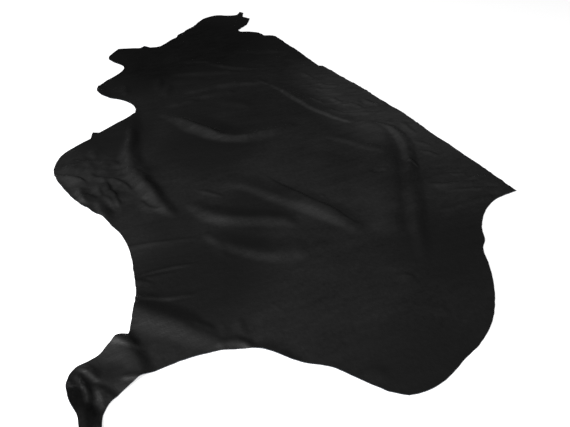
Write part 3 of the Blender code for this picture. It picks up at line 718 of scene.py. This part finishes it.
def grain_leather(settings):
    """Aniline-dyed full-grain cattle leather: near black and satin, with a fine pebble, and with painted
    sheen and painted shade in its colour.
    """
    material, tree, shader = new_material("black aniline grain leather")
    place_in = add_node(tree, "ShaderNodeTexCoord").outputs["Object"]
    # Hair once lay across the side, so the dye has taken in faint streaks that way.
    lay = add_node(
        tree,
        "ShaderNodeMapping",
        {"Vector": place_in, "Rotation": (0, 0, HAIR_LAY), "Scale": (1.0, 0.3, 1.0)},
    ).outputs[0]
    noises = ((place_in, PATCH, 3), (lay, STREAK, 4), (place_in, FLECK, 3), (place_in, SKIN, 4))
    patches, streaks, flecks, skin = (
        add_node(tree, "ShaderNodeTexNoise", {"Vector": at, "Scale": 1 / apart, "Detail": detail}).outputs[0]
        for at, apart, detail in noises
    )
    two = add_node(tree, "ShaderNodeMath", {0: patches, 1: streaks}, operation="ADD").outputs[0]
    three = add_node(tree, "ShaderNodeMath", {0: two, 1: flecks}, operation="ADD").outputs[0]
    limits = ("From Min", "From Max", "To Min", "To Max")
    spreads = ((1.15, 1.85, 0.0, 1.0), (1.2, 1.8, 0.6, 1.3), (1.25, 1.75, 0.65, 0.51))
    taken, uneven, rough = (
        add_node(tree, "ShaderNodeMapRange", {"Value": three, **dict(zip(limits, spread))}).outputs[0]
        for spread in spreads
    )
    # The "dye" attribute holds the painted light and shade: thin takes its share of painted sheen, deep its
    # share of painted shade.
    dye = add_node(tree, "ShaderNodeAttribute", attribute_name="dye").outputs["Fac"]
    thin, deep = (
        add_node(tree, "ShaderNodeMath", {0: dye, 1: times}, operation="MULTIPLY", use_clamp=True).outputs[0]
        for times in (uneven, -1.0)
    )
    # Random lighter patches first, then the painted sheen and the painted shade.
    colour = settings.grain_colour
    for share, other in (
        (taken, settings.worn_colour),
        (thin, settings.painted_sheen_colour),
        (deep, settings.painted_shade_colour),
    ):
        colour = add_node(tree, "ShaderNodeMix", {0: share, 6: colour, 7: other}, data_type="RGBA").outputs[2]
    tree.links.new(colour, shader.inputs["Base Color"])
    # Where the shade is painted, the grain is also set smoother, so that the neck stays dark when seen so
    # low.
    smoother = add_node(
        tree, "ShaderNodeMath", {0: deep, 1: -0.07, 2: rough}, operation="MULTIPLY_ADD"
    ).outputs[0]
    tree.links.new(smoother, shader.inputs["Roughness"])
    # The real pebble is under 1 mm across. It is drawn at 2.4 mm so that it shows.
    pebble = add_node(
        tree,
        "ShaderNodeTexVoronoi",
        {"Vector": place_in, "Scale": 1 / PEBBLE, "Smoothness": 0.6},
        feature="SMOOTH_F1",
    ).outputs["Distance"]
    pores = add_node(
        tree, "ShaderNodeBump", {"Height": pebble, "Strength": 0.35, "Distance": 0.0004}, invert=True
    ).outputs[0]
    relief = add_node(
        tree, "ShaderNodeBump", {"Height": skin, "Strength": 0.7, "Distance": 0.0009, "Normal": pores}
    ).outputs[0]
    pull = add_node(
        tree, "ShaderNodeBump", {"Height": streaks, "Strength": 0.8, "Distance": 0.002, "Normal": relief}
    ).outputs[0]
    tree.links.new(pull, shader.inputs["Normal"])
    shader.inputs["IOR"].default_value = 1.48
    return material


def fibrous(name, apart, detail, shades, relief, rough):
    """A matt material of fine fibre between two shades, and its shader."""
    material, tree, shader = new_material(name)
    place_in = add_node(tree, "ShaderNodeTexCoord").outputs["Object"]
    fibre = add_node(
        tree,
        "ShaderNodeTexNoise",
        {"Vector": place_in, "Scale": 1 / apart, "Detail": detail, "Roughness": 0.7},
    ).outputs["Fac"]
    first, second = shades
    colour = add_node(tree, "ShaderNodeMix", {0: fibre, 6: first, 7: second}, data_type="RGBA").outputs[2]
    tree.links.new(colour, shader.inputs["Base Color"])
    strength, depth = relief
    raised = add_node(tree, "ShaderNodeBump", {"Height": fibre, "Strength": strength, "Distance": depth})
    tree.links.new(raised.outputs[0], shader.inputs["Normal"])
    shader.inputs["Roughness"].default_value = rough
    return material, shader


def flesh_side(settings):
    """The buffed flesh side: a short dark suede nap with no gloss."""
    shades = (settings.grain_colour, settings.flesh_colour)
    material, shader = fibrous("black suede flesh side", NAP, 6, shades, (0.8, 0.0006), 0.95)
    shader.inputs["Sheen Weight"].default_value = 0.2
    return material


def raw_edge(settings):
    """The raw cut edge: grey fibre where the dye has not gone through."""
    shades = (settings.flesh_colour, settings.edge_colour)
    material, _ = fibrous("grey raw cut leather edge", FIBRE, 5, shades, (0.7, 0.0004), 0.9)
    return material


def growth_tree():
    """A node tree that raises the plump skin between growth wrinkles."""
    tree = bpy.data.node_groups.new("growth wrinkles", "GeometryNodeTree")
    face = tree.interface
    face.new_socket("Geometry", in_out="INPUT", socket_type="NodeSocketGeometry")
    kinds = {"Spacing": "Float", "Depth": "Float", "Stretch": "Float", "Seed": "Int", "Material": "Material"}
    for name, kind in kinds.items():
        face.new_socket(name, in_out="INPUT", socket_type="NodeSocket" + kind)
    face.new_socket("Geometry", in_out="OUTPUT", socket_type="NodeSocketGeometry")
    given = add_node(tree, "NodeGroupInput").outputs
    where = add_node(tree, "GeometryNodeInputPosition").outputs[0]
    stretch = add_node(tree, "ShaderNodeCombineXYZ", {"X": 1.0, "Y": given["Stretch"], "Z": 1.0}).outputs[0]
    drawn = add_node(tree, "ShaderNodeVectorMath", {0: where, 1: stretch}, operation="MULTIPLY").outputs[0]
    scale = add_node(tree, "ShaderNodeMath", {0: 1.0, 1: given["Spacing"]}, operation="DIVIDE").outputs[0]
    noise = add_node(
        tree,
        "ShaderNodeTexNoise",
        {"Vector": drawn, "W": given["Seed"], "Scale": scale, "Detail": 2.0, "Distortion": 0.6},
        noise_dimensions="4D",
    ).outputs[0]
    middle = add_node(tree, "ShaderNodeMath", {0: noise, 1: 0.5}, operation="SUBTRACT").outputs[0]
    away = add_node(tree, "ShaderNodeMath", {0: middle}, operation="ABSOLUTE").outputs[0]
    plump = add_node(
        tree,
        "ShaderNodeMapRange",
        {"Value": away, "From Min": 0.0, "From Max": 0.16, "To Min": 0.0, "To Max": 1.0},
        interpolation_type="SMOOTHSTEP",
    ).outputs[0]
    mask = add_node(tree, "GeometryNodeInputNamedAttribute", {"Name": "growth"}, data_type="FLOAT").outputs[0]
    masked = add_node(tree, "ShaderNodeMath", {0: plump, 1: mask}, operation="MULTIPLY").outputs[0]
    rise = add_node(tree, "ShaderNodeMath", {0: masked, 1: given["Depth"]}, operation="MULTIPLY").outputs[0]
    normal = add_node(tree, "GeometryNodeInputNormal").outputs[0]
    offset = add_node(tree, "ShaderNodeVectorMath", {0: normal, "Scale": rise}, operation="SCALE").outputs[0]
    moved = add_node(
        tree, "GeometryNodeSetPosition", {"Geometry": given["Geometry"], "Offset": offset}
    ).outputs[0]
    real = add_node(tree, "GeometryNodeRealizeInstances", {"Geometry": moved}).outputs[0]
    coated = add_node(
        tree, "GeometryNodeSetMaterial", {"Geometry": real, "Material": given["Material"]}
    ).outputs[0]
    add_node(tree, "NodeGroupOutput", {"Geometry": coated})
    return tree


def set_inputs(modifier, values):
    """Sets a Geometry Nodes modifier's inputs by their sockets' identifiers."""
    for item in modifier.node_group.interface.items_tree:
        if item.in_out == "INPUT" and item.name in values:
            modifier[item.identifier] = values[item.name]


def made_plain(piece):
    """Gives the piece the mesh that its modifiers make, and takes them off."""
    graph = bpy.context.evaluated_depsgraph_get()
    mesh = bpy.data.meshes.new_from_object(piece.evaluated_get(graph))
    before = piece.data
    piece.modifiers.clear()
    piece.data = mesh
    bpy.data.meshes.remove(before)
    mesh.name = piece.name


class LEATHER_OT_side(bpy.types.Operator):
    """Lay the side of leather on the floor in its folds"""

    bl_idname = "leather.side"
    bl_label = "Lay the side"

    def execute(self, context):
        settings = context.scene.leather_side
        edge = cut_edge(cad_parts[SIDE_NODE], settings.ragged)
        points = np.concatenate([edge, surface_points(edge)])
        rim = [(i, (i + 1) % len(edge)) for i in range(len(edge))]
        inner_faces = 1
        corners = [Vector(point) for point in points]
        flat, _, faces, *_ = delaunay_2d_cdt(corners, rim, [], inner_faces, MERGE_WITHIN)
        flat = np.array(flat)
        height = lifted(flat, distances(flat, edge), settings)
        shape = np.column_stack([flat, height + settings.thick])
        mesh = bpy.data.meshes.new("leather_side")
        mesh.from_pydata(shape.tolist(), [], [list(face) for face in faces])
        # The "dye" attribute carries the painted light and shade of the grain's colour.
        for name, shares in (("growth", most(flat, GROWTH)), ("dye", painted_light_and_shade(flat))):
            mesh.attributes.new(name, "FLOAT", "POINT").data.foreach_set("value", shares.astype(np.float32))
        mesh.shade_smooth()
        side = bpy.data.objects.new("leather_side", mesh)
        context.scene.collection.objects.link(side)
        wrinkles = side.modifiers.new("growth wrinkles", "NODES")
        wrinkles.node_group = growth_tree()
        set_inputs(wrinkles, {
            "Spacing": settings.growth_spacing,
            "Depth": settings.growth_depth,
            "Stretch": WRINKLE_STRETCH,
            "Seed": settings.growth_seed,
            "Material": grain_leather(settings),
        })
        made_plain(side)
        side.data.materials.append(flesh_side(settings))
        side.data.materials.append(raw_edge(settings))
        wall = side.modifiers.new("thickness", "SOLIDIFY")
        wall.thickness = settings.thick
        wall.offset = -1
        # The underside takes the second material, and the rim the third.
        wall.material_offset = 1
        wall.material_offset_rim = 2
        made_plain(side)
        side.data.set_sharp_from_angle(angle=SHARP_TURN)
        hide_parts(SIDE_NODE)
        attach(side, "root")
        return {"FINISHED"}


def area_lamp(name, where, towards, size, power):
    """A rectangular softbox facing a point."""
    lamp = bpy.data.lights.new(name, "AREA")
    lamp.shape = "RECTANGLE"
    lamp.size, lamp.size_y = size
    lamp.energy = power
    holder = bpy.data.objects.new(name, lamp)
    holder.location = where
    holder.rotation_euler = (Vector(towards) - Vector(where)).to_track_quat("-Z", "Y").to_euler()
    bpy.context.scene.collection.objects.link(holder)


class LEATHER_OT_stage(bpy.types.Operator):
    """Make the floor, the softbox and the camera"""

    bl_idname = "leather.stage"
    bl_label = "Make the stage"

    def execute(self, context):
        settings = context.scene.leather_stage
        mesh = bpy.data.meshes.new("floor")
        ways = ((-1, -1), (1, -1), (1, 1), (-1, 1))
        mesh.from_pydata([(FLOOR_HALF * x, FLOOR_HALF * y, 0) for x, y in ways], [], [(0, 1, 2, 3)])
        material, _, shader = new_material("white matt studio floor")
        shader.inputs["Base Color"].default_value = settings.floor_colour
        shader.inputs["Roughness"].default_value = 0.9
        shader.inputs["Specular IOR Level"].default_value = 0.1
        shader.inputs["Emission Color"].default_value = (1, 1, 1, 1)
        shader.inputs["Emission Strength"].default_value = settings.floor_glow
        mesh.materials.append(material)
        floor = bpy.data.objects.new("floor", mesh)
        context.scene.collection.objects.link(floor)
        area_lamp("belly softbox", SOFTBOX_PLACE, (0, 0, 0), SOFTBOX_SIZE, settings.key_power)
        world = bpy.data.worlds.new("studio")
        world.use_nodes = True
        world.node_tree.nodes["Background"].inputs["Color"].default_value = (1, 1, 1, 1)
        world.node_tree.nodes["Background"].inputs["Strength"].default_value = settings.world_strength
        context.scene.world = world
        context.scene.view_settings.view_transform = "Standard"
        eye = bpy.data.cameras.new("camera")
        eye.sensor_fit = "HORIZONTAL"
        eye.angle = settings.view_width
        camera = bpy.data.objects.new("camera", eye)
        camera.location = (*place(*EYE_MARK), settings.eye_height)
        camera.rotation_euler = (math.radians(90) - settings.look_down, 0, HEADING)
        context.scene.collection.objects.link(camera)
        context.scene.camera = camera
        return {"FINISHED"}


class LEATHER_PT_side(bpy.types.Panel):
    """The leather side's settings and operators"""

    bl_idname = "LEATHER_PT_side"
    bl_label = "Leather side"
    bl_space_type = "VIEW_3D"
    bl_region_type = "UI"
    bl_category = "Leather side"

    def draw(self, context):
        scene = context.scene
        pairs = ((scene.leather_side, LEATHER_OT_side), (scene.leather_stage, LEATHER_OT_stage))
        for settings, operator in pairs:
            box = self.layout.box()
            for name in settings.__annotations__:
                box.prop(settings, name)
            box.operator(operator.bl_idname)


CLASSES = (SideSettings, StageSettings, LEATHER_OT_side, LEATHER_OT_stage, LEATHER_PT_side)


def register():
    for cls in CLASSES:
        bpy.utils.register_class(cls)
    bpy.types.Scene.leather_side = PointerProperty(type=SideSettings)
    bpy.types.Scene.leather_stage = PointerProperty(type=StageSettings)


def unregister():
    del bpy.types.Scene.leather_stage
    del bpy.types.Scene.leather_side
    for cls in reversed(CLASSES):
        bpy.utils.unregister_class(cls)


def main():
    register()
    bpy.ops.leather.side()
    bpy.ops.leather.stage()


if __name__ == "__main__":
    main()
